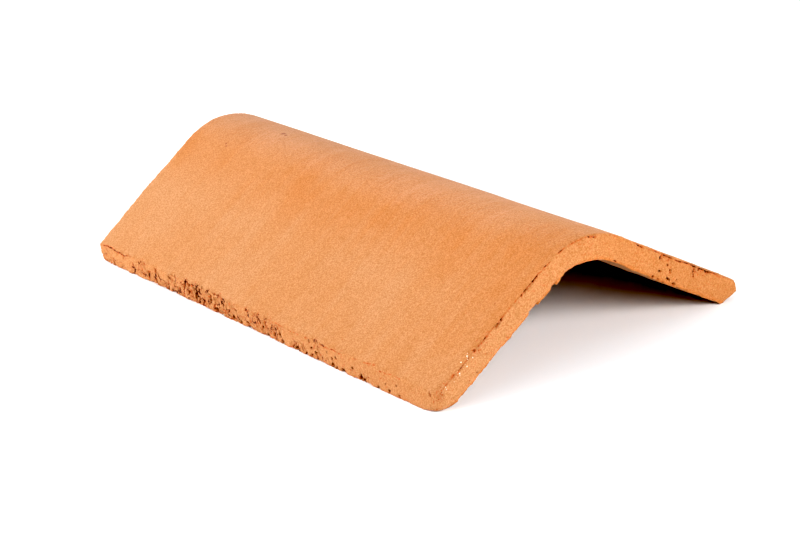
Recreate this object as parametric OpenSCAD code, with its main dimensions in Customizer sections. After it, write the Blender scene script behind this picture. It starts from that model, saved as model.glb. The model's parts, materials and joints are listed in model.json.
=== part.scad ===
// Angle ridge tile of plain fired clay: two straight wings and a rounded ridge, in one piece.
// Millimetres. +Y runs along the ridge, +X across it, +Z up. The origin is on the floor,
// midway along the tile and below the ridge.

/* [Tile] */
// Length along the ridge
tile_length = 450; // [200:5:600]
// Width over both feet
tile_width = 254; // [180:1:320]
// Thickness of the clay, the same in the wings and round the ridge
clay_t = 16.5; // [13:0.5:22]

/* [Ridge] */
// Angle between the two wings, in degrees
ridge_angle = 115; // [100:1:130]
// Radius of the rounded ridge, on its outer side
ridge_r = 58; // [30:1:80]

/* [Feet] */
// Width of the level land under each foot, before its arrises are rounded
foot_land_w = 10; // [7:0.5:12]
// Rounding of the foot's upper arris
foot_top_r = 1.5; // [0.5:0.25:3]
// Rounding of the foot's outer lower arris
foot_toe_r = 1.5; // [0.5:0.25:3]
// Rounding of the foot's inner lower arris
foot_heel_r = 2; // [0.5:0.25:3]

/* [Hidden] */
$fn = 180;

clay_colour = [0.86, 0.52, 0.29];

// Slope of each wing, in degrees below level
wing_slope = (180 - ridge_angle) / 2;
// Where the upright outer face of a foot stands, and where a wing's underside meets the floor
foot_x = tile_width / 2;
heel_x = foot_x - foot_land_w;
// Height at which the undersides of the wings would meet in a sharp angle
sharp_hollow_z = heel_x * tan(wing_slope);
// Height at which their tops would meet, a clay thickness square above
sharp_ridge_z = sharp_hollow_z + clay_t / cos(wing_slope);
// Height of the upright face at the outer side of each foot
foot_face_h = sharp_ridge_z - foot_x * tan(wing_slope);
// How far the hollow is cut below the floor, so that it opens cleanly between the feet
cut_below = 5;
// A rounding's circle is this much over its radius, so that it crosses the edges and
// doesn't only touch them
ease = 0.02;
// The waste of a rounding reaches this much past its arris, as a share of the way there
waste_reach = 1.5;

function unit(angle) = [cos(angle), sin(angle)];

// What a rounding takes off one arris: edge_a and edge_b are the directions of the two
// edges as they leave the arris, in degrees, turning anticlockwise from a to b
module arris_waste(arris, edge_a, edge_b, r) {
    half = (edge_b - edge_a) / 2;
    tangent = r / tan(half);
    centre = arris + r / sin(half) * unit(edge_a + half);
    difference() {
        polygon([
            centre,
            arris + tangent * unit(edge_a),
            centre + waste_reach * (arris - centre),
            arris + tangent * unit(edge_b)
        ]);
        translate(centre) circle(r = r + ease);
    }
}

// What rounds the meeting of the two wings, at height z
module ridge_waste(z, r) {
    arris_waste([0, z], 180 + wing_slope, 360 - wing_slope, r);
}

// What rounds the three arrises of the right foot
module foot_waste() {
    arris_waste([foot_x, foot_face_h], 180 - wing_slope, 270, foot_top_r);
    arris_waste([foot_x, 0], 90, 180, foot_toe_r);
    arris_waste([heel_x, 0], 0, 180 - wing_slope, foot_heel_r);
}

// The outside of the section: both wings' tops, the feet and the floor line
module outside_section() {
    difference() {
        polygon([
            [-foot_x, 0],
            [foot_x, 0],
            [foot_x, foot_face_h],
            [0, sharp_ridge_z],
            [-foot_x, foot_face_h]
        ]);
        ridge_waste(sharp_ridge_z, ridge_r);
    }
}

// The space under the arch, a clay thickness inside it
module hollow_section() {
    hollow_x = heel_x + cut_below / tan(wing_slope);
    difference() {
        polygon([
            [-hollow_x, -cut_below],
            [hollow_x, -cut_below],
            [0, sharp_hollow_z]
        ]);
        ridge_waste(sharp_hollow_z, ridge_r - clay_t);
    }
}

// The section square to the ridge
module tile_section() {
    difference() {
        outside_section();
        hollow_section();
        foot_waste();
        mirror([1, 0]) foot_waste();
    }
}

// The section stands upright and is drawn out along the ridge
module ridge_tile() {
    color(clay_colour)
        translate([0, tile_length / 2, 0]) rotate([90, 0, 0])
            linear_extrude(height = tile_length) tile_section();
}

ridge_tile();
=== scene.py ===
import json
import math

import bpy
import numpy as np
from mathutils import Matrix, Vector


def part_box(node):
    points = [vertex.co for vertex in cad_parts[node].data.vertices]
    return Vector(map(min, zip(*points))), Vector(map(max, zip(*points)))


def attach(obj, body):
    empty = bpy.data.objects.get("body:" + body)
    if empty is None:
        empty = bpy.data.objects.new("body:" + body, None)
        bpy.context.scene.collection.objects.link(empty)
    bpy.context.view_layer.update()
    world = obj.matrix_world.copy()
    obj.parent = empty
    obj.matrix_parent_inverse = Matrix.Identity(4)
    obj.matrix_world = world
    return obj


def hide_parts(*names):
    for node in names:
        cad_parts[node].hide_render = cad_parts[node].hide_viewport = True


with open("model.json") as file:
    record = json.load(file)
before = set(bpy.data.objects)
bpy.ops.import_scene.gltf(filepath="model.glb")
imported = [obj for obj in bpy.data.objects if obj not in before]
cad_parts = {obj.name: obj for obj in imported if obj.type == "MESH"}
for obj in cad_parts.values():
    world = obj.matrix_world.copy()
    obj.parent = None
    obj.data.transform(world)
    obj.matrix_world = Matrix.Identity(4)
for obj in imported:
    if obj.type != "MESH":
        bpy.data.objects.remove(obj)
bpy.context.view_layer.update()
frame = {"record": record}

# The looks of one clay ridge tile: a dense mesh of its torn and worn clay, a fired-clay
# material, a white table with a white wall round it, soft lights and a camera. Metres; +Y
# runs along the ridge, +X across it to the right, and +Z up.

NODE = "ridge_tile"
MM = 0.001

# ---------------------------------------------------------------- the section, from the CAD

LOW, HIGH = (np.array(corner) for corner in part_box(NODE))
HALF_LENGTH = (HIGH[1] - LOW[1]) / 2
FOOT_X = (HIGH[0] - LOW[0]) / 2
CLAY_T = 16.5 * MM
RIDGE_R = 58 * MM
FOOT_TOP_R = 1.5 * MM
FOOT_TOE_R = 1.5 * MM
FOOT_HEEL_R = 2 * MM

# The underside's mount gives the wing's slope and where its plane meets the floor.
UNDERSIDE = next(m for m in frame["record"]["mounts"] if m["name"] == "right_underside")
SLOPE = math.atan2(-UNDERSIDE["axis"][0], -UNDERSIDE["axis"][2])
HEEL_X = UNDERSIDE["pos_m"][0] + UNDERSIDE["pos_m"][2] / math.tan(SLOPE)
HOLLOW_Z = HEEL_X * math.tan(SLOPE)
SHARP_Z = HOLLOW_Z + CLAY_T / math.cos(SLOPE)
FOOT_FACE_H = SHARP_Z - FOOT_X * math.tan(SLOPE)
RIDGE_AXIS_Z = SHARP_Z - RIDGE_R / math.cos(SLOPE)

# ---------------------------------------------------------------- mesh density

ALONG_SECTION = 390    # steps over the top, and as many under it
ACROSS_CLAY = 44       # steps down a foot, and as many through the clay at an end
ALONG_RIDGE = 600
TRIANGLES = 190000     # what the mesh is thinned to

END_ROUND = 0.9 * MM   # rounding of the arrises round both ends
SKIN_OVER = 1.1 * MM   # how far the wings' skin is turned over the ends
WEAR_REACH = 9 * MM    # how far inside a face the clay can be worn


# ---------------------------------------------------------------- noise

def hash01(seed, *cell):
    """A number from 0 to 1 for each lattice cell."""
    h = np.full(cell[0].shape, 0x9E3779B9 * (seed + 1) & 0xFFFFFFFF, np.uint32)
    for c, prime in zip(cell, (0x8DA6B343, 0xD8163841, 0xCB1AB31F)):
        h ^= c.astype(np.int64).astype(np.uint32) * np.uint32(prime)
        h ^= h >> np.uint32(13)
        h *= np.uint32(0x5BD1E995)
        h ^= h >> np.uint32(15)
    return h.astype(np.float64) / 2 ** 32


def noise(p, size, seed):
    """Smooth noise from -1 to 1 at points p; size is the length of a lump in metres."""
    q = p / size
    base = np.floor(q)
    f = q - base
    u = f * f * f * (f * (f * 6 - 15) + 10)
    total = 0
    for corner in range(8):
        step = np.array([corner & 1, corner >> 1 & 1, corner >> 2 & 1])
        weight = np.prod(np.where(step, u, 1 - u), axis=1)
        total = total + weight * hash01(seed, *(base + step).T)
    return total * 2 - 1


def rough(p, size, seed, octaves=3):
    """Noise with finer and weaker lumps on its lumps."""
    return sum(noise(p, size / 2 ** k, seed + 31 * k) / 2 ** k for k in range(octaves))


def smooth(x, low=0.0, high=1.0):
    """0 below low, 1 above high and a smooth rise between; low may be above high."""
    t = np.clip((x - low) / (high - low), 0, 1)
    return t * t * (3 - 2 * t)


def blocky(t, size, seed):
    """Noise along a line from 0 to 1 with flat stretches and short steps, as torn clay has."""
    q = t / size
    base = np.floor(q)
    a = hash01(seed, base)
    b = hash01(seed, base + 1)
    return a + (b - a) * smooth(q - base, 0.35, 0.65)


def crumbs(p, size, seed):
    """Clay torn into crumbs: a number from 0 to 1 for the crumb that each point is in, and
    how near it is to a crack between two crumbs, from 0 to 1."""
    q = p / size
    base = np.floor(q)
    nearest = np.full(len(q), 9.0)
    second = nearest.copy()
    level = np.zeros(len(q))
    for step in np.ndindex(3, 3, 3):
        cell = (base + np.array(step) - 1).T
        seat = np.stack([hash01(seed + k, *cell) for k in range(3)], 1) + cell.T
        away = np.linalg.norm(q - seat, axis=1)
        closer = away < nearest
        second = np.where(closer, nearest, np.minimum(second, away))
        level = np.where(closer, hash01(seed + 3, *cell), level)
        nearest = np.minimum(nearest, away)
    return level, np.clip(1 - (second - nearest) / 0.3, 0, 1)


def scatter(u, v, seed, cell, density, length, width, tilt=0.0, turn=math.pi):
    """Marks strewn over a face, from 0 outside to 1 in the middle of one. u and v are
    metres on the face, density is the share of cells that hold a mark, length and width are
    half sizes of a mark, tilt is its lean in radians and turn the range about it."""
    out = np.zeros_like(u)
    cu, cv = np.floor(u / cell), np.floor(v / cell)
    for du in (-1, 0, 1):
        for dv in (-1, 0, 1):
            r = [hash01(seed + 7 * k, cu + du, cv + dv) for k in range(7)]
            x = u - (cu + du + r[0]) * cell
            y = v - (cv + dv + r[1]) * cell
            angle = tilt + turn * (r[3] - 0.5)
            a = x * np.cos(angle) + y * np.sin(angle)
            b = y * np.cos(angle) - x * np.sin(angle)
            rho = (a / (length * (0.5 + r[4]))) ** 2 + (b / (width * (0.6 + 0.8 * r[5]))) ** 2
            there = smooth(density - r[2], 0, 0.04)
            out = np.maximum(out, there * (0.4 + 0.6 * r[6]) * np.clip(1 - rho, 0, 1) ** 0.6)
    return out


# ---------------------------------------------------------------- the undamaged surface

def fillet(before, corner, after, r, steps=24):
    """Points of the arc that rounds a corner."""
    u = (before - corner) / np.linalg.norm(before - corner)
    w = (after - corner) / np.linalg.norm(after - corner)
    half = math.acos(u @ w) / 2
    centre = corner + (u + w) / np.linalg.norm(u + w) * r / math.sin(half)
    start = corner + u * r / math.tan(half) - centre
    sweep = math.copysign(math.pi - 2 * half, start[0] * (w - u)[1] - start[1] * (w - u)[0])
    angles = math.atan2(start[1], start[0]) + np.linspace(0, sweep, steps * 2 + 1)
    return centre + r * np.stack([np.cos(angles), np.sin(angles)], 1)


def section_sides():
    """The four sides of the section as polylines: top, right foot, underside, left foot.
    They start at the upper left arris and go clockwise as seen from the front."""
    corners = [
        ((-FOOT_X, FOOT_FACE_H), FOOT_TOP_R),
        ((0, SHARP_Z), RIDGE_R),
        ((FOOT_X, FOOT_FACE_H), FOOT_TOP_R),
        ((FOOT_X, 0), FOOT_TOE_R),
        ((HEEL_X, 0), FOOT_HEEL_R),
        ((0, HOLLOW_Z), RIDGE_R - CLAY_T),
        ((-HEEL_X, 0), FOOT_HEEL_R),
        ((-FOOT_X, 0), FOOT_TOE_R),
    ]
    points = [np.array(c, float) for c, r in corners]
    arcs = [
        fillet(points[k - 1], points[k], points[(k + 1) % 8], corners[k][1])
        for k in range(8)
    ]
    middle = len(arcs[0]) // 2
    return [
        np.vstack([arcs[a][middle:], arcs[b], arcs[c][:middle + 1]])
        for a, b, c in ((0, 1, 2), (2, 3, 4), (4, 5, 6), (6, 7, 0))
    ]


def resample(line, steps):
    """steps + 1 points at even distances along a polyline."""
    run = np.concatenate([[0], np.cumsum(np.linalg.norm(np.diff(line, axis=0), axis=1))])
    at = np.linspace(0, run[-1], steps + 1)
    return np.stack([np.interp(at, run, line[:, k]) for k in range(2)], 1)


def plain_surface():
    """Vertices and quads of the sound tile, closed at both ends."""
    n, m = ALONG_SECTION, ACROSS_CLAY
    sides = [resample(s, c) for s, c in zip(section_sides(), (n, m, n, m))]
    ring = np.vstack([s[:-1] for s in sides])
    count = len(ring)
    along = np.roll(ring, -1, 0) - np.roll(ring, 1, 0)
    outward = np.stack([-along[:, 1], along[:, 0]], 1)
    outward /= np.linalg.norm(outward, axis=1)[:, None]

    # Rows along the ridge, drawn in a little at both ends to round the arrises.
    quarter = np.linspace(0, math.pi / 2, 6)
    end_y = END_ROUND * (1 - np.sin(quarter))[::-1]
    end_in = END_ROUND * (1 - np.cos(quarter))[::-1]
    middle_y = np.linspace(END_ROUND, 2 * HALF_LENGTH - END_ROUND, ALONG_RIDGE)[1:-1]
    row_y = np.concatenate([end_y, middle_y, 2 * HALF_LENGTH - end_y[::-1]]) - HALF_LENGTH
    row_in = np.concatenate([end_in, 0 * middle_y, end_in[::-1]])
    rows = len(row_y)
    xz = ring[None] - outward[None] * row_in[:, None, None]
    tube = np.stack([xz[..., 0], np.broadcast_to(row_y[:, None], xz.shape[:2]), xz[..., 1]], -1)
    index = np.arange(rows * count).reshape(rows, count)
    turned = np.roll(index, -1, 1)
    quads = [np.stack([index[:-1], turned[:-1], turned[1:], index[1:]], -1).reshape(-1, 4)]

    # Each end is a patch between the four sides.
    points = [tube.reshape(-1, 3)]
    i, j = np.arange(n + 1), np.arange(m + 1)
    u, v = np.meshgrid(i / n, j / m, indexing="ij")
    for row, flip in ((0, True), (rows - 1, False)):
        edge = tube[row]
        top, right = edge[i], edge[n + j]
        under, left = edge[n + m + n - i], edge[(2 * n + m + m - j) % count]
        u3, v3 = u[..., None], v[..., None]
        patch = (1 - v3) * top[:, None] + v3 * under[:, None]
        patch = patch + (1 - u3) * left[None] + u3 * right[None]
        patch = patch - (1 - u3) * ((1 - v3) * top[0] + v3 * under[0])
        patch = patch - u3 * ((1 - v3) * top[-1] + v3 * under[-1])
        grid = np.empty((n + 1, m + 1), int)
        start = sum(len(p) for p in points)
        grid[1:-1, 1:-1] = start + np.arange((n - 1) * (m - 1)).reshape(n - 1, m - 1)
        grid[:, 0], grid[-1, :] = index[row, i], index[row, n + j]
        grid[:, -1], grid[0, :] = index[row, 2 * n + m - i], index[row, (2 * n + 2 * m - j) % count]
        points.append(patch[1:-1, 1:-1].reshape(-1, 3))
        cap = np.stack([grid[:-1, :-1], grid[1:, :-1], grid[1:, 1:], grid[:-1, 1:]], -1)
        quads.append((cap[..., ::-1] if flip else cap).reshape(-1, 4))
    return np.vstack(points), np.vstack(quads)


def vertex_normals(points, quads):
    """Outward unit normals."""
    a, b, c, d = (points[quads[:, k]] for k in range(4))
    face = np.cross(c - a, d - b)
    normals = np.zeros_like(points)
    for k in range(4):
        for axis in range(3):
            normals[:, axis] += np.bincount(quads[:, k], face[:, axis], len(points))
    return normals / np.linalg.norm(normals, axis=1)[:, None]


# ---------------------------------------------------------------- wear

def depths(p):
    """How far inside the clay each point lies, from the top, the underside and the ends."""
    x, y, z = p.T
    side = np.abs(x)
    round_top = side < (z - RIDGE_AXIS_Z) * math.tan(SLOPE)
    radius = np.hypot(x, z - RIDGE_AXIS_Z)
    drop = side * math.sin(SLOPE) + z * math.cos(SLOPE)
    top = np.where(round_top, RIDGE_R - radius, SHARP_Z * math.cos(SLOPE) - drop)
    return top, CLAY_T - top, y + HALF_LENGTH, HALF_LENGTH - y


def near_arris(a, b, reach):
    """1 at the arris between two faces and 0 at reach from it; a and b are the depths."""
    return np.clip(1 - np.hypot(a, b) / reach, 0, 1)


def line_noise(t, size, seed, octaves=2):
    """Noise along a line."""
    return rough(np.stack([t, 0 * t, 0 * t], 1), size, seed, octaves)


def marks(u, v, places):
    """Single slits and holes on a face, as cut depth and painted shade. Each place is u, v, half
    length, half width, lean in degrees and depth, all but the lean in millimetres."""
    cut, painted_shade = 0 * u, 0 * u
    p = np.stack([u, v, 0 * u], 1)
    shake_u, shake_v = (0.5 * MM * rough(p, 2.2 * MM, seed) for seed in (41, 42))
    for mark_u, mark_v, length, width, lean, depth in places:
        angle = math.radians(lean)
        du, dv = u - mark_u * MM + shake_u, v - mark_v * MM + shake_v
        a = (du * math.cos(angle) + dv * math.sin(angle)) / (length * MM)
        b = (dv * math.cos(angle) - du * math.sin(angle)) / (width * MM)
        shape = np.clip(1 - a * a - b * b, 0, 1) ** 0.6
        cut = np.maximum(cut, depth * MM * shape)
        painted_shade = np.maximum(painted_shade, shape * min(depth / 1.6, 1))
    return cut, painted_shade


# How far the tile is from true. The arch is lower at the back by this share of its height,
# and higher at the front. The right foot is spread at the front. The left foot's face leans
# out at the bottom, and its back end leans in there. The clay is too thick by CROWN_OVER
# under the crown, and by WING_OVER in the right wing at the front. The ends are cut askew, by
# so many millimetres along the ridge at the places SKEW_AT across it.
ARCH_TAPER = 0.016
SPREAD = 2.6 * MM
FOOT_LEAN = 2.2 * MM
BACK_LEAN = 5 * MM
CROWN_OVER = 1.5 * MM
WING_OVER = 3 * MM
SKEW_AT = (-127, -80, -35, 0, 60, 127)
BACK_SKEW = (-4.0, -0.5, 2.0, 2.5, 1.0, -1.0)
FRONT_SKEW = (0.0, 0.0, -1.0, -3.0, -2.5, -0.5)
# The far front corner is broken off low down, on a slope that starts BREAK_IN inside the
# right foot's face. It is whole within BREAK_FULL of the front and gone at BREAK_END.
BREAK_IN = 11 * MM
BREAK_SLOPE = 0.40
BREAK_FULL = 4 * MM
BREAK_END = 26 * MM

# Single marks on the left foot's upright face: along the ridge, up, and on as above.
LEFT_FOOT_MARKS = (
    (196, 11.5, 2.6, 0.5, -20, 0.8),
    (188, 10.0, 2.2, 0.6, 50, 1.0),
    (154, 9.5, 3.0, 0.6, 25, 1.3),
    (149, 6.5, 2.4, 0.6, 70, 1.2),
    (117, 11.0, 2.8, 0.8, 50, 2.2),
    (94, 12.5, 2.0, 0.6, 80, 1.8),
    (88, 11.0, 2.2, 0.6, 95, 1.8),
    (81, 10.5, 3.0, 0.9, 75, 3.2),
    (76, 5.5, 4.0, 0.9, 60, 3.0),
    (71, 4.0, 2.8, 0.8, 100, 2.6),
    (56, 8.0, 3.0, 0.8, 85, 3.0),
    (47, 2.2, 3.0, 0.9, 60, 3.0),
    (38, 8.5, 2.6, 0.8, 50, 2.4),
    (23, 3.0, 1.8, 1.1, 60, 3.2),
    (4, 4.0, 1.6, 1.1, 30, 3.0),
    (-12, 8.0, 1.6, 0.7, 60, 1.8),
    (-39, 6.0, 1.7, 1.2, 70, 3.4),
    (-79, 7.0, 1.3, 0.9, 40, 2.6),
    (-85, 5.0, 1.5, 0.9, 60, 3.0),
    (-76, 10.8, 1.2, 0.7, 60, 2.2),
    (-92, 12.2, 3.2, 0.5, 10, 1.2),
    (-98, 9.0, 1.0, 0.6, 30, 1.8),
    (-104, 6.5, 1.4, 0.8, 50, 2.6),
    (-109, 8.0, 1.1, 0.6, 50, 1.8),
    (-129, 6.0, 1.3, 0.8, 40, 2.2),
    (-140, 4.6, 1.1, 0.8, 50, 2.2),
    (-168, 6.0, 1.0, 0.7, 50, 1.9),
    (-180, 8.0, 1.0, 0.7, 50, 1.9),
    (-217, 11.5, 2.4, 0.6, 60, 1.1),
    (-221, 8.0, 1.8, 0.6, 120, 1.0),
)
# Notches in its lower arris, given the same way.
LEFT_FOOT_NOTCHES = (
    (118, 1.4, 1.6, 1.4, 0, 2.2),
    (66, 1.4, 2.0, 1.6, 0, 2.8),
    (40, 1.4, 1.8, 1.6, 0, 2.6),
    (12, 1.4, 1.8, 1.6, 0, 2.8),
    (-24, 1.6, 1.8, 2.0, 0, 3.4),
    (-43, 1.8, 2.0, 2.0, 20, 3.6),
    (-61, 1.6, 2.0, 1.8, 0, 3.2),
    (-73, 1.4, 1.1, 1.4, 0, 2.2),
    (-80, 1.6, 1.8, 1.8, 0, 3.0),
    (-106, 1.8, 1.7, 2.4, 0, 3.8),
    (-111, 1.4, 1.2, 1.6, 0, 2.4),
    (-118, 1.4, 1.5, 1.6, 0, 2.6),
    (-139, 2.0, 1.5, 2.2, 0, 3.0),
    (-143, 1.4, 1.3, 1.6, 0, 2.4),
    (-160, 1.4, 1.5, 1.5, 0, 2.4),
    (-172, 1.4, 1.4, 1.5, 0, 2.2),
    (-184, 1.4, 1.2, 1.5, 0, 2.0),
)
# Single marks on the front end face: across, up, and on as above.
FRONT_MARKS = (
    (9.0, 80.6, 2.2, 0.8, -8, 1.4),
    (-73.5, 44.5, 2.6, 0.9, 38, 2.6),
    (-70.5, 47.5, 1.4, 0.6, 60, 1.6),
    (-49.0, 60.5, 2.2, 0.7, 35, 2.0),
    (-43.0, 65.0, 1.6, 0.8, 45, 1.8),
    (-88.0, 38.0, 2.6, 0.6, 33, 1.2),
    (-93.0, 36.0, 2.0, 0.7, 60, 1.4),
    (91.0, 34.5, 1.5, 1.2, 80, 3.2),
    (90.0, 31.0, 2.4, 0.5, 75, 1.6),
    (62.0, 50.0, 1.0, 0.8, 0, 2.0),
    (55.0, 41.0, 1.3, 0.8, 20, 2.2),
    (61.0, 42.5, 1.6, 0.7, -30, 1.8),
    (63.0, 35.0, 1.2, 0.8, 40, 2.2),
    (67.5, 35.5, 1.5, 0.8, -50, 2.4),
    (72.0, 30.5, 1.7, 0.8, -40, 2.2),
    (75.5, 26.5, 2.2, 0.8, -30, 2.0),
    (59.0, 38.0, 0.9, 0.6, 10, 1.6),
    (70.0, 40.0, 1.0, 0.6, -20, 1.4),
    (98.0, 33.5, 1.6, 0.6, -50, 1.4),
    (103.5, 29.5, 1.8, 0.6, -40, 1.3),
    (74.0, 48.5, 3.0, 0.5, -32, 1.1),
    (82.0, 43.5, 2.6, 0.5, -32, 1.1),
    (24.0, 60.0, 1.8, 1.1, -35, 1.8),
)
# White grit in the arris of the front end: across, up, and how far it is spread.
FRONT_GRIT = (
    (-55, 57, 1.6), (-98, 30, 3.0), (-103, 26.5, 3.2), (-109, 22, 2.6), (-113, 19.5, 1.8),
    (-119, 15.5, 2.2), (-123, 12, 2.0), (-94, 32, 1.6), (-66, 49, 1.6),
)
# Strips of the front arris that are torn, in millimetres: the middle across the tile, and
# half the length.
TORN_STRIPS = ((-90, 11), (-123, 6), (96, 12), (66, 9))
# Stretches where the crevice along an end's outer arris is plain, given the same way.
CREVICE_STRIPS = ((-22, 36), (-68, 9), (80, 30))
# How torn each foot's face is, from 0 to 1, at places along the ridge in millimetres.
LEFT_TORN_AT = (-225, -150, -70, -10, 60, 120, 165, 225)
LEFT_TORN = (0.16, 0.28, 0.38, 0.52, 0.84, 0.76, 0.52, 0.36)
RIGHT_TORN_AT = (-225, -120, 10, 110, 225)
RIGHT_TORN = (0.20, 0.45, 0.15, 0.55, 0.25)
# What each foot's wear is made from: its side, how torn it is, and the seed of its noise.
LEFT_FOOT = (-1, LEFT_TORN_AT, LEFT_TORN, 100)
RIGHT_FOOT = (1, RIGHT_TORN_AT, RIGHT_TORN, 200)


def torn_patches(p, side, torn_at, torn, seed):
    """How torn a foot's clay is there on the whole, and where the torn patches are."""
    x, y, z = p.T
    tear = np.interp(y, np.array(torn_at) * MM, torn)
    low = 0.8 * smooth(z, 9 * MM, 2 * MM)
    patchy = smooth(rough(p, 16 * MM, seed) + 2.4 * tear - 1.1 + low, 0, 0.5)
    reach = smooth(FOOT_X - side * x, (2.5 + 2 * tear) * MM, 0.5 * MM)
    return tear, patchy, reach * tear ** 0.5 * patchy


def foot_wear(p, side, torn_at, torn, seed):
    """Cut depth and painted shade of the marks on a foot's upright face and its arrises."""
    x, y, z = p.T
    top = depths(p)[0]
    face = FOOT_X - side * x
    on_face = smooth(face, 2.5 * MM, 0.5 * MM)
    tear, patchy, torn_here = torn_patches(p, side, torn_at, torn, seed)

    # Crumbs with cracks between them, and painted shade in the cracks.
    warp = np.stack([1.3 * MM * rough(p, 5 * MM, seed + k) for k in (1, 2, 3)], 1)
    sheared = p + warp + z[:, None] * np.array([0, -0.5, 0])
    level, crack = crumbs(sheared, np.array([3.8, 4.4, 3.0]) * MM, seed + 4)
    deep = smooth(level, 0.35, 0.8)
    cut = torn_here * MM * (0.9 * level + 0.8 * crack * deep + 0.4)
    painted_shade = torn_here * crack * (0.02 + 0.36 * deep)

    # Slits that lean with the drag of the cutter, and holes, with painted shade in them.
    u, v = y + warp[:, 1], z + warp[:, 2]
    lean = math.radians(62)
    slits = scatter(u, v, seed + 8, 6.5 * MM, 0.6 * tear, 3.0 * MM, 0.8 * MM, lean, 0.9) * patchy
    holes = scatter(u, v, seed + 20, 5.4 * MM, 0.45 * tear, 1.3 * MM, 1.0 * MM) * patchy
    small = scatter(u, v, seed + 30, 3.6 * MM, 0.22 + 0.12 * tear, 0.75 * MM, 0.5 * MM)
    for shape, depth, shade in ((slits, 2.8, 1.0), (holes, 2.4, 1.0), (small, 0.8, 0.7)):
        cut = np.maximum(cut, on_face * depth * MM * shape)
        painted_shade = np.maximum(painted_shade, on_face * shade * shape)

    # The lower arris is nicked all along, with painted shade in the nicks.
    nick = smooth(blocky(y, 5.5 * MM, seed + 40) + 0.35 * tear, 0.55, 1.2)
    bite = scatter(y, 0 * y, seed + 50, 15 * MM, 0.45, 2.4 * MM, 9 * MM, 0, 0)
    toe = near_arris(face, z, 4.5 * MM)
    cut = cut + toe * MM * (0.4 * nick + 1.5 * bite)
    painted_shade = np.maximum(painted_shade, 0.9 * toe * np.maximum(bite, 0.5 * nick) * smooth(z, 3 * MM, 1 * MM))
    # Painted shade along the bottom of the face, where it meets the floor.
    painted_shade = np.maximum(painted_shade, 0.4 * on_face * smooth(z, 1.5 * MM, 0.5 * MM))

    # The upper arris is uneven.
    cut = cut + near_arris(face, top, 5 * MM) * 0.9 * MM * np.clip(rough(p, 8 * MM, seed + 60), 0, 1)
    return cut, painted_shade


def left_foot_marks(p):
    """The single marks on the left foot and the thin crack along its upper arris, as cut depth and
    painted shade.
    """
    x, y, z = p.T
    face = FOOT_X + x
    on_face = smooth(face, 4 * MM, 1 * MM)
    cut, painted_shade = (on_face * layer for layer in marks(y, z, LEFT_FOOT_MARKS + LEFT_FOOT_NOTCHES))
    path = FOOT_FACE_H - 0.4 * MM + 1.1 * MM * line_noise(y, 11 * MM, 71)
    broken = smooth(line_noise(y, 6 * MM, 72), -0.5, 0.1)
    at_back = smooth(y, HALF_LENGTH - 80 * MM, HALF_LENGTH - 62 * MM)
    at_front = 0.6 * smooth(y, 20 * MM, 0) * smooth(y, -205 * MM, -170 * MM)
    broken = broken * np.maximum(at_back, at_front)
    crack = broken * np.exp(-((z - path) / (0.45 * MM)) ** 2) * smooth(face, 3 * MM, 1 * MM)
    return np.maximum(cut, 0.8 * MM * crack), np.maximum(painted_shade, 0.8 * crack)


def plain_run(x):
    """1 where the crevice along an end's outer arris hardly breaks off, and 0 elsewhere."""
    return sum(smooth(np.abs(x - middle * MM), half * MM, 0.7 * half * MM)
               for middle, half in CREVICE_STRIPS)


def end_wear(p, end, torn, seed):
    """Cut depth and painted shade of the marks on an end face and its arrises. end is each
    point's depth from that face, and torn how torn its arrises are."""
    x, _, z = p.T
    top, under = depths(p)[:2]
    on_face = smooth(end, 2.5 * MM, 0.5 * MM)
    run = x / math.cos(SLOPE)
    wide = smooth(noise(p, 40 * MM, seed), -0.1, 0.6)
    holes = scatter(x, z, seed + 10, 6.5 * MM, 0.06 + 0.24 * wide, 0.9 * MM, 0.7 * MM)
    small = scatter(x, z, seed + 20, 2.4 * MM, 0.16 + 0.25 * wide, 0.55 * MM, 0.4 * MM)
    grainy = rough(p, 2.0 * MM, seed + 1) * 0.16 * MM + rough(p, 9 * MM, seed + 2) * 0.22 * MM
    cut = on_face * (1.5 * MM * holes + 0.6 * MM * small + grainy)
    painted_shade = on_face * np.maximum(0.9 * holes, 0.5 * small)

    # The inner arris is torn in steps, the outer one less so.
    inner = near_arris(end, under, 3.0 * MM) * smooth(blocky(run, 4.6 * MM, seed + 3), 0.25, 1)
    outer = near_arris(end, top, 3.0 * MM) * blocky(run, 3.4 * MM, seed + 4)
    chipped = 0.9 + 1.8 * smooth(np.abs(x + 32 * MM), 30 * MM, 14 * MM)
    cut = cut + torn * MM * (chipped * inner + 0.5 * outer)

    # A crevice comes and goes where the skin turned over the outer arris, with painted shade in it.
    path = SKIN_OVER + 0.5 * MM * line_noise(run, 7 * MM, seed + 5)
    broken = smooth(line_noise(run, 14 * MM, seed + 6, 3) + 0.7 * plain_run(x), -0.3, 0.35)
    width = (0.50 + 0.35 * smooth(line_noise(run, 9 * MM, seed + 8), -0.2, 0.5)) * MM
    crevice = broken * np.exp(-((top - path) / width) ** 2) * smooth(end, 2.5 * MM, 1.2 * MM)
    ragged = 0.4 + 0.6 * smooth(line_noise(run, 2.2 * MM, seed + 7), -0.4, 0.4)
    crevice = torn * crevice * ragged
    return cut + 1.1 * MM * crevice, np.maximum(painted_shade, 0.8 * crevice)


def front_marks(p):
    """The single marks on the front end face."""
    on_face = smooth(depths(p)[2], 3 * MM, 0.8 * MM)
    cut, painted_shade = marks(p[:, 0], p[:, 2], FRONT_MARKS)
    return on_face * cut, on_face * painted_shade


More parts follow.
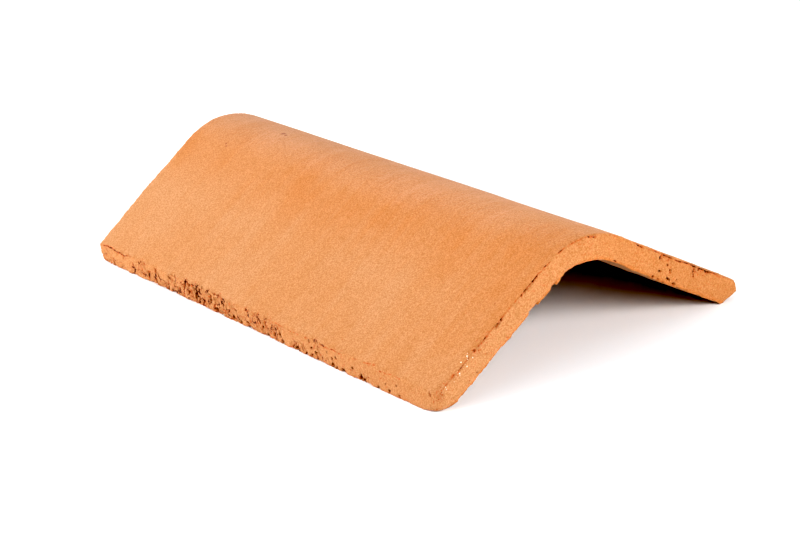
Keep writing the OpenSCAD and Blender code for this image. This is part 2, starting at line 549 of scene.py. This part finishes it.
def torn_band(p):
    """The strips of skin that are torn off along the front arris, down to rough clay, with painted
    shade between the crumbs.
    """
    top, _, end, _ = depths(p)
    x = p[:, 0]
    torn = sum(smooth(np.abs(x - middle * MM), half * MM, 0.5 * half * MM)
               for middle, half in TORN_STRIPS)
    inside = smooth(np.hypot(end, top), 6.5 * MM, 4 * MM) * torn
    inside = inside * smooth(rough(p, 4 * MM, 82), -0.6, 0.1)
    level, crack = crumbs(p + 0.6 * MM * rough(p, 2 * MM, 83)[:, None], 1.7 * MM, 84)
    cut = inside * MM * (0.35 + 0.6 * level + 0.4 * crack)
    return cut, inside * 0.85 * crack * level


def grit_layer(p):
    """How much white grit shows, from 0 to 1."""
    x, _, z = p.T
    out = np.zeros(len(p))
    for grit_x, grit_z, size in FRONT_GRIT:
        away = np.hypot(x - grit_x * MM, z - grit_z * MM) / (size * MM)
        out = np.maximum(out, smooth(away, 1.2, 0.6))
    return out * smooth(depths(p)[2], 6 * MM, 4 * MM)


def round_corner(p, side, end_depth, end_sign, radius, reach):
    """Wears a lower corner round: side is -1 or 1 for the foot, end_depth the depth from
    the end face, end_sign the way inwards from it, and radius falls off within reach."""
    r = radius * smooth(end_depth, reach, 0)[:, None] + 1e-9
    q = np.clip(r - np.stack([FOOT_X - side * p[:, 0], end_depth, p[:, 2]], 1), 0, None)
    far = np.linalg.norm(q, axis=1)[:, None]
    move = q * np.clip(1 - r / np.maximum(far, 1e-9), 0, None)
    p[:, 0] -= side * move[:, 0]
    p[:, 1] += end_sign * move[:, 1]
    p[:, 2] += move[:, 2]


def worn_surface():
    """The tile's mesh as it is: points, quads, and per point how much painted shade it has, how
    freshly cut, how gritty and how torn the clay is, and how near to an end's inner arris."""
    p, quads = plain_surface()
    normal = vertex_normals(p, quads)
    top, under, front, back = depths(p)
    x, y, z = p.T

    # Faces that aren't quite true, and a rough underside.
    below = smooth(under, 1.5 * MM, 0)
    cut = 0.30 * MM * noise(p, 70 * MM, 11) + 0.10 * MM * noise(p, 22 * MM, 12)
    cut += below * 0.25 * MM * rough(p, 9 * MM, 13)
    painted_shade = np.zeros(len(p))

    jobs = (
        (FOOT_X + x, lambda q: foot_wear(q, *LEFT_FOOT)),
        (FOOT_X - x, lambda q: foot_wear(q, *RIGHT_FOOT)),
        (FOOT_X + x, left_foot_marks),
        (front, lambda q: end_wear(q, depths(q)[2], 1.0, 300)),
        (back, lambda q: end_wear(q, depths(q)[3], 0.35, 400)),
        (front, front_marks),
        (front, torn_band),
    )
    for depth, wear in jobs:
        near = depth < WEAR_REACH
        more, more_painted_shade = wear(p[near])
        cut[near] += more
        painted_shade[near] = np.maximum(painted_shade[near], more_painted_shade)

    # A few pin holes over the two wings, with painted shade in them.
    pins = scatter(x / math.cos(SLOPE), y, 500, 19 * MM, 0.3, 0.7 * MM, 0.5 * MM)
    pins *= smooth(top, 1 * MM, 0) + below
    cut += 0.6 * MM * pins
    painted_shade = np.maximum(painted_shade, 0.5 * pins)

    worn = p - normal * cut[:, None]
    round_corner(worn, -1, front, 1, 7 * MM, 22 * MM)
    round_corner(worn, 1, back, -1, 6 * MM, 18 * MM)

    # It isn't quite true: lower at the back, spread at the right, leaning at the left foot,
    # too thick in places, and cut a little askew, with the askewness blurred across the tile.
    worn[:, 2] *= 1 - ARCH_TAPER * y / HALF_LENGTH
    worn[:, 0] += SPREAD * smooth(x, 40 * MM, FOOT_X) * smooth(y, HALF_LENGTH, -HALF_LENGTH)
    low = np.clip(1 - z / FOOT_FACE_H, 0, 1)
    worn[:, 0] -= FOOT_LEAN * low * smooth(-x, HEEL_X, FOOT_X)
    worn[:, 1] -= BACK_LEAN * low * smooth(-x, 85 * MM, FOOT_X) * smooth(back, 80 * MM, 0)
    over = CROWN_OVER * smooth(np.abs(x), 55 * MM, 15 * MM)
    over = over + WING_OVER * smooth(x, 15 * MM, 65 * MM) * smooth(y, 0, -HALF_LENGTH)
    worn[:, 2] -= over * np.clip(top / CLAY_T, 0, 1)
    for end_y, skew in ((HALF_LENGTH, BACK_SKEW), (-HALF_LENGTH, FRONT_SKEW)):
        near = [np.interp(x + step * MM, np.array(SKEW_AT) * MM, skew) for step in range(-18, 19, 6)]
        worn[:, 1] += smooth(y, 0, end_y) * MM * np.mean(near, axis=0)

    # The far front corner is broken off low down, and nothing reaches below the floor.
    broken = smooth(front, BREAK_END, BREAK_FULL) * (x > HEEL_X - 6 * MM)
    slant = (worn[:, 0] - (FOOT_X - BREAK_IN)) * BREAK_SLOPE
    worn[:, 2] += np.clip(slant - worn[:, 2], 0, None) * broken
    worn[:, 2] = np.maximum(worn[:, 2], 0)

    skin = smooth(top, SKIN_OVER + 0.5 * MM, SKIN_OVER - 0.5 * MM)
    fresh = np.maximum.reduce([
        smooth(front, 1.6 * MM, 0.4 * MM) * (1 - skin),
        smooth(back, 1.6 * MM, 0.4 * MM) * (1 - skin),
        0.8 * smooth(FOOT_X - np.abs(x), 1.5 * MM, 0.3 * MM),
    ])
    torn = np.zeros(len(p))
    for foot in (LEFT_FOOT, RIGHT_FOOT):
        near = FOOT_X - foot[0] * x < WEAR_REACH
        torn[near] = torn_patches(p[near], *foot)[2]
    rim = smooth(np.minimum(front, back), 3 * MM, 1 * MM) * smooth(under, 3 * MM, 0.8 * MM)
    layers = {
        "painted_shade": np.clip(painted_shade, 0, 1),
        "fresh": fresh,
        "grit": grit_layer(p),
        "torn": torn,
        "rim": rim,
    }
    return worn, quads, layers


def build_tile():
    """The tile as one mesh, thinned where it is smooth."""
    points, quads, layers = worn_surface()
    dense = bpy.data.meshes.new("dense_clay")
    dense.vertices.add(len(points))
    dense.vertices.foreach_set("co", points.astype(np.float32).ravel())
    dense.loops.add(quads.size)
    dense.loops.foreach_set("vertex_index", quads.astype(np.int32).ravel())
    dense.polygons.add(len(quads))
    dense.polygons.foreach_set("loop_start", np.arange(0, quads.size, 4, dtype=np.int32))
    dense.update(calc_edges=True)
    for name, values in layers.items():
        dense.attributes.new(name, "FLOAT", "POINT").data.foreach_set(
            "value", values.astype(np.float32))
    holder = bpy.data.objects.new("dense_clay", dense)
    bpy.context.scene.collection.objects.link(holder)
    thin = holder.modifiers.new("thin", "DECIMATE")
    thin.ratio = TRIANGLES / (2 * len(quads))
    thin.use_collapse_triangulate = True
    graph = bpy.context.evaluated_depsgraph_get()
    mesh = bpy.data.meshes.new_from_object(holder.evaluated_get(graph))
    bpy.data.objects.remove(holder)
    bpy.data.meshes.remove(dense)
    mesh.name = "fired_clay_tile"
    mesh.shade_smooth()
    mesh.set_sharp_from_angle(angle=math.radians(50))
    tile = bpy.data.objects.new("clay_ridge_tile", mesh)
    bpy.context.scene.collection.objects.link(tile)
    return tile


# ---------------------------------------------------------------- materials

class Nodes:
    """Short calls that add shader nodes to a material."""

    def __init__(self, name):
        self.material = bpy.data.materials.new(name)
        self.material.use_nodes = True
        self.tree = self.material.node_tree
        self.tree.nodes.clear()

    def add(self, kind, inputs=None, **settings):
        node = self.tree.nodes.new("ShaderNode" + kind)
        for key, value in settings.items():
            setattr(node, key, value)
        for key, value in (inputs or {}).items():
            if isinstance(value, bpy.types.NodeSocket):
                self.tree.links.new(value, node.inputs[key])
            else:
                node.inputs[key].default_value = value
        return node

    def math(self, operation, a, b, clamp=False):
        return self.add("Math", {0: a, 1: b}, operation=operation, use_clamp=clamp).outputs[0]

    def ramp(self, value, low, high, to_low=0.0, to_high=1.0):
        """value from low to high becomes to_low to to_high, held outside."""
        settings = {"Value": value, "From Min": low, "From Max": high,
                    "To Min": to_low, "To Max": to_high}
        return self.add("MapRange", settings, clamp=True).outputs[0]

    def swing(self, *parts):
        """0.5 and each part's swing about 0.5 times its weight."""
        total = 0.5 - 0.5 * sum(weight for value, weight in parts)
        for value, weight in parts:
            settings = {0: value, 1: weight, 2: total}
            total = self.add("Math", settings, operation="MULTIPLY_ADD").outputs[0]
        return total

    def mix(self, share, a, b, blend="MIX"):
        node = self.add("Mix", data_type="RGBA", blend_type=blend)
        for key, value in (("Factor", share), ("A", a), ("B", b)):
            socket = next(s for s in node.inputs if s.name == key and s.enabled)
            if isinstance(value, bpy.types.NodeSocket):
                self.tree.links.new(value, socket)
            else:
                socket.default_value = value
        return next(s for s in node.outputs if s.enabled)

    def noise(self, vector, scale, detail, roughness=0.5):
        inputs = {"Vector": vector, "Scale": scale, "Detail": detail, "Roughness": roughness}
        return self.add("TexNoise", inputs).outputs["Fac"]


CLAY = (0.412, 0.205, 0.089, 1)
CLAY_PALE = (0.420, 0.221, 0.106, 1)
CLAY_DEEP = (0.405, 0.178, 0.064, 1)
CLAY_FRESH = (0.428, 0.224, 0.105, 1)
CLAY_FRESH_DEEP = (0.410, 0.188, 0.072, 1)
CLAY_RIM = (0.440, 0.165, 0.045, 1)
CLAY_SMEAR_AND_SHEEN = (0.452, 0.230, 0.118, 1)
CLAY_GRAIN = (0.520, 0.310, 0.160, 1)
# The next two colours are painted shade: red-brown in cracks, near black in pits.
CLAY_CRACK_SHADE = (0.415, 0.105, 0.030, 1)
CLAY_PIT_SHADE = (0.060, 0.010, 0.006, 1)
GRIT = (0.80, 0.74, 0.66, 1)
SPECK = (0.240, 0.070, 0.030, 1)
TINT_LOW = (0.88, 0.82, 0.70, 1)
TINT_HIGH = (1.12, 1.18, 1.30, 1)
ORANGE_PATCH = (-26 * MM, -192 * MM, 76 * MM)
# Dark specks in the skin: a point in each, and its radius.
SPECKS = (
    ((-27 * MM, 178 * MM, 75 * MM), 1.0 * MM),
    ((-29 * MM, 175 * MM, 74.5 * MM), 0.7 * MM),
    ((-46 * MM, 206 * MM, 66 * MM), 0.9 * MM),
    ((3 * MM, 141 * MM, 83 * MM), 1.7 * MM),
    ((2 * MM, 136 * MM, 83 * MM), 1.2 * MM),
    ((-64 * MM, -211 * MM, 53 * MM), 0.9 * MM),
)


def clay_material():
    """Unglazed fired clay: mottled and grainy, paler in streaks where it was wiped, deeper in
    colour towards the ridge and the front, with a pale smear on the ridge that is partly painted
    sheen, and painted shade in its pits and between its crumbs."""
    k = Nodes("fired_clay_look")
    place = k.add("TexCoord").outputs["Object"]
    painted_shade = k.add("Attribute", attribute_name="painted_shade").outputs["Fac"]
    fresh = k.add("Attribute", attribute_name="fresh").outputs["Fac"]
    grit = k.add("Attribute", attribute_name="grit").outputs["Fac"]
    torn = k.add("Attribute", attribute_name="torn").outputs["Fac"]
    rim = k.add("Attribute", attribute_name="rim").outputs["Fac"]
    split = k.add("SeparateXYZ", {"Vector": place})
    along, height = split.outputs["Y"], split.outputs["Z"]

    fine = k.noise(place, 1000, 1, 0.6)
    speckle = k.noise(place, 380, 2, 0.6)
    mottle = k.noise(place, 110, 2)
    clouds = k.noise(place, 14, 3)

    # Wiping left streaks that follow the section, across the ridge.
    across = k.add("Mapping", {"Vector": place, "Scale": (10, 95, 10), "Rotation": (0, 0, 0.1)})
    streak = k.noise(across.outputs[0], 1, 3, 0.6)
    wiped = k.swing((clouds, 2.2), (streak, 1.6))
    colour = k.mix(k.ramp(wiped, 0.2, 0.8), CLAY, CLAY_PALE)

    # Deeper in colour high up and towards the front, and most of all in one patch.
    high = k.ramp(height, 47 * MM, 67 * MM, 0, 0.75)
    front = k.ramp(along, -130 * MM, -200 * MM, 0, 0.7)
    front = k.math("MULTIPLY", front, k.ramp(height, 25 * MM, 60 * MM, 0.2, 1))
    away = k.add("VectorMath", {0: place, 1: ORANGE_PATCH}, operation="DISTANCE").outputs["Value"]
    patch = k.ramp(away, 34 * MM, 8 * MM)
    deep = k.math("MAXIMUM", k.math("MAXIMUM", high, front), patch)
    deep = k.math("MULTIPLY", deep, k.ramp(wiped, 0.1, 0.6, 1.25, 0.75), clamp=True)
    colour = k.mix(deep, colour, CLAY_DEEP)

    # Pale slurry smeared over the ridge, partly a painted sheen along the crown.
    crown = k.ramp(height, HIGH[2] - 10 * MM, HIGH[2] - 1 * MM)
    thick = k.ramp(k.noise(place, 22, 2), 0.38, 0.62, 0.25, 1)
    smear_and_sheen = k.math("MULTIPLY", k.math("MULTIPLY", crown, thick), k.ramp(streak, 0.3, 0.65, 0.3, 1))
    smear_and_sheen = k.math("MULTIPLY", smear_and_sheen, k.ramp(along, -120 * MM, -200 * MM, 1, 0.15))
    colour = k.mix(k.math("MULTIPLY", smear_and_sheen, 0.9), colour, CLAY_SMEAR_AND_SHEEN)

    # Cut clay shows at the ends and the feet, and is deeper in colour on the right, on the
    # left foot and along an end's inner arris.
    right = k.ramp(split.outputs["X"], -70 * MM, 40 * MM)
    left = k.ramp(split.outputs["X"], -122 * MM, -126 * MM, 0, 0.6)
    cut_clay = k.mix(k.math("ADD", right, left), CLAY_FRESH, CLAY_FRESH_DEEP)
    cut_clay = k.mix(k.math("MULTIPLY", rim, 0.8), cut_clay, CLAY_RIM)
    colour = k.mix(k.ramp(fresh, 0, 1, 0, 0.9), colour, cut_clay)
    tone = k.swing((fine, 3.2), (speckle, 1.0), (mottle, 0.35))
    tint = k.mix(tone, TINT_LOW, TINT_HIGH)
    colour = k.mix(1.0, colour, tint, "MULTIPLY")

    # Pale grains, and painted shade in small hollows, more of them where the clay is cut.
    cells = k.add("TexVoronoi", {"Vector": place, "Scale": 700.0}, feature="F1")
    pick = k.add("SeparateColor", {"Color": cells.outputs["Color"]})
    share = k.ramp(fresh, 0, 1, 0.06, 0.40)
    grain = k.math("MULTIPLY", k.ramp(cells.outputs["Distance"], 0.5, 0.2),
                   k.math("LESS_THAN", pick.outputs[0], share))
    grain = k.math("MULTIPLY", grain, k.ramp(pick.outputs[1], 0, 1, 0.1, 0.6))
    colour = k.mix(grain, colour, CLAY_GRAIN)
    hollow_shade = k.math("MULTIPLY", k.ramp(cells.outputs["Distance"], 0.6, 0.2),
                    k.math("GREATER_THAN", pick.outputs[0], 0.80))
    hollow_shade = k.math("MULTIPLY", hollow_shade, k.ramp(pick.outputs[1], 0, 1, 0.1, 0.55))
    colour = k.mix(k.math("MULTIPLY", hollow_shade, k.ramp(fresh, 0, 1, 0.1, 1)), colour, CLAY_CRACK_SHADE)

    # Dark specks, and the painted shade of marks, with a ragged edge.
    for point, radius in SPECKS:
        away = k.add("VectorMath", {0: place, 1: point}, operation="DISTANCE").outputs["Value"]
        colour = k.mix(k.ramp(away, radius * 1.6, radius * 0.6, 0, 0.9), colour, SPECK)
    inside = k.ramp(painted_shade, 0.02, 0.10)
    ragged = k.math("MULTIPLY", k.math("ADD", painted_shade, k.swing((speckle, 1.3), (fine, 0.4))), inside)
    colour = k.mix(k.ramp(ragged, 0.68, 0.94, 0, 0.85), colour, CLAY_CRACK_SHADE)
    colour = k.mix(k.ramp(ragged, 1.0, 1.15), colour, CLAY_PIT_SHADE)

    # Torn clay is split into crumbs, with painted shade in gaps here and there between them.
    wobble = k.add("TexNoise", {"Vector": place, "Scale": 300.0, "Detail": 2.0}).outputs["Color"]
    bent = k.add("VectorMath", {0: wobble, 1: (4 * MM,) * 3, 2: place}, operation="MULTIPLY_ADD")
    leant = k.add("Mapping", {"Vector": bent.outputs[0], "Scale": (240, 330, 210),
                              "Rotation": (-0.5, 0, 0)})
    crumb = k.add("TexVoronoi", {"Vector": leant.outputs[0], "Scale": 1.0},
                  feature="DISTANCE_TO_EDGE").outputs["Distance"]
    width = k.math("MULTIPLY", k.ramp(k.noise(place, 210, 1), 0.44, 0.66, 0, 0.19), torn)
    gap = k.math("SUBTRACT", width, crumb)
    colour = k.mix(k.ramp(gap, 0, 0.05, 0, 0.75), colour, CLAY_CRACK_SHADE)
    colour = k.mix(k.ramp(gap, 0.05, 0.09), colour, CLAY_PIT_SHADE)

    # White grit, in the middles of some cells.
    white = k.math("MULTIPLY", k.ramp(cells.outputs["Distance"], 0.42, 0.22),
                   k.math("GREATER_THAN", k.math("MULTIPLY", pick.outputs[2], grit), 0.66))
    colour = k.mix(white, colour, GRIT)

    relief = k.swing((fine, 1.0), (speckle, 1.4))
    relief = k.math("SUBTRACT", relief, k.ramp(gap, 0, 0.06))
    coarse = k.ramp(crown, 0, 1, 0.4, 1)
    bump = k.add("Bump", {"Height": relief, "Strength": coarse, "Distance": 0.0005})
    roughness = k.ramp(speckle, 0.3, 0.7, 0.78, 0.95)
    shader = k.add("BsdfPrincipled", {
        "Base Color": colour, "Roughness": roughness, "Normal": bump.outputs[0],
        "Specular IOR Level": 0.15, "Diffuse Roughness": 0.5,
        "Sheen Weight": 0.1, "Sheen Roughness": 0.4})
    out = k.add("OutputMaterial")
    k.tree.links.new(shader.outputs[0], out.inputs["Surface"])
    return k.material


TABLE_RADIUS = 6.0
WALL_HEIGHT = 4.0
GLOW_FROM, GLOW_FULL = 0.9, 1.4    # where the table starts to glow, and where it does fully


def floor_material():
    """A matte white table. It glows far out, where the softboxes don't light it."""
    k = Nodes("white_table")
    away = k.add("VectorMath", {0: k.add("TexCoord").outputs["Object"]}, operation="LENGTH")
    shader = k.add("BsdfPrincipled", {
        "Base Color": (0.885, 0.905, 0.930, 1), "Roughness": 0.6, "Specular IOR Level": 0.2,
        "Emission Color": (1, 1, 1, 1),
        "Emission Strength": k.ramp(away.outputs["Value"], GLOW_FROM, GLOW_FULL)})
    out = k.add("OutputMaterial")
    k.tree.links.new(shader.outputs[0], out.inputs["Surface"])
    return k.material


# ---------------------------------------------------------------- stage, lights and camera

def wall_material():
    """An evenly bright white wall."""
    k = Nodes("white_wall")
    glow = k.add("Emission", {"Color": (1, 1, 1, 1), "Strength": 1.0})
    out = k.add("OutputMaterial")
    k.tree.links.new(glow.outputs[0], out.inputs["Surface"])
    return k.material


def add_stage(name, points, faces, material):
    mesh = bpy.data.meshes.new(name)
    mesh.from_pydata(points, [], faces)
    piece = bpy.data.objects.new(name, mesh)
    bpy.context.scene.collection.objects.link(piece)
    mesh.materials.append(material)
    return piece


def build_stage():
    """A wide level table top at the height that the tile stands on, and a round white wall
    far behind it on all sides, which the camera sees but which lights nothing."""
    sides = 96
    turns = [2 * math.pi * n / sides for n in range(sides)]
    ring = [(TABLE_RADIUS * math.cos(a), TABLE_RADIUS * math.sin(a), 0) for a in turns]
    add_stage("table_top", ring, [tuple(range(sides))], floor_material())
    upper = [(x, y, WALL_HEIGHT) for x, y, z in ring]
    faces = [(n, (n + 1) % sides, sides + (n + 1) % sides, sides + n) for n in range(sides)]
    wall = add_stage("white_wall", ring + upper, faces, wall_material())
    wall.visible_diffuse = False
    wall.visible_glossy = False
    wall.visible_shadow = False


LIGHT_DISTANCE = 2.2


def softbox(name, azimuth, elevation, size, power):
    """A square soft light that faces the tile. Azimuth is in degrees from the front, towards
    the left."""
    a, e = math.radians(azimuth), math.radians(elevation)
    away = Vector((-math.sin(a) * math.cos(e), -math.cos(a) * math.cos(e), math.sin(e)))
    light = bpy.data.lights.new(name, "AREA")
    light.shape = "SQUARE"
    light.size = size
    light.energy = power
    holder = bpy.data.objects.new(name, light)
    bpy.context.scene.collection.objects.link(holder)
    holder.location = away * LIGHT_DISTANCE
    holder.rotation_euler = (-away).to_track_quat("-Z", "Y").to_euler()


def build_lights():
    softbox("low_left_softbox", 120, 12, 1.3, 78)
    softbox("left_softbox", 120, 35, 1.3, 28)
    softbox("high_left_softbox", 75, 60, 1.3, 8)
    softbox("key_softbox", 12, 28, 0.6, 35)
    softbox("second_key_softbox", -8, 28, 0.6, 17)
    softbox("low_front_softbox", -28, 15, 0.6, 20)
    softbox("high_front_softbox", -15, 60, 1.3, 5)
    softbox("back_softbox", 190, 18, 1.3, 27)
    softbox("high_right_softbox", -104, 50, 1.3, 8)
    world = bpy.data.worlds.new("studio")
    world.use_nodes = True
    background = world.node_tree.nodes["Background"]
    background.inputs["Color"].default_value = (1, 1, 1, 1)
    background.inputs["Strength"].default_value = 0.002
    bpy.context.scene.world = world


def set_contrast():
    """A print's contrast: deep blacks, and mid tones drawn down a little."""
    view = bpy.context.scene.view_settings
    view.view_transform = "Standard"
    view.gamma = 0.80
    view.use_curve_mapping = True
    view.curve_mapping.black_level = (0.040, 0.040, 0.040)
    view.curve_mapping.update()


# The camera's direction, in degrees, and what it looks at, from how far and with what lens.
AZIMUTH, DOWN, LEAN = 33.07, 20.43, -6.69
AIM = (3.2 * MM, 0, 7.3 * MM)
EYE_DISTANCE = 1.8555
SENSOR_WIDTH = 36
LENS = 113.57


def build_camera():
    """The camera stands to the front left, looks a little down and leans to its right."""
    azimuth, down, lean = (math.radians(a) for a in (AZIMUTH, DOWN, LEAN))
    forward = Vector((math.sin(azimuth) * math.cos(down), math.cos(azimuth) * math.cos(down),
                      -math.sin(down)))
    level = Vector((math.cos(azimuth), -math.sin(azimuth), 0))
    upright = level.cross(forward)
    right = level * math.cos(lean) + upright * math.sin(lean)
    up = right.cross(forward)
    eye = Vector(AIM) - forward * EYE_DISTANCE
    camera = bpy.data.cameras.new("camera")
    camera.sensor_width = SENSOR_WIDTH
    camera.lens = LENS
    holder = bpy.data.objects.new("camera", camera)
    bpy.context.scene.collection.objects.link(holder)
    turn = Matrix((right, up, -forward)).transposed().to_4x4()
    holder.matrix_world = Matrix.Translation(eye) @ turn
    bpy.context.scene.camera = holder


build_camera()
tile = build_tile()
tile.data.materials.append(clay_material())
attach(tile, "root")
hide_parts(NODE)
build_stage()
build_lights()
set_contrast()
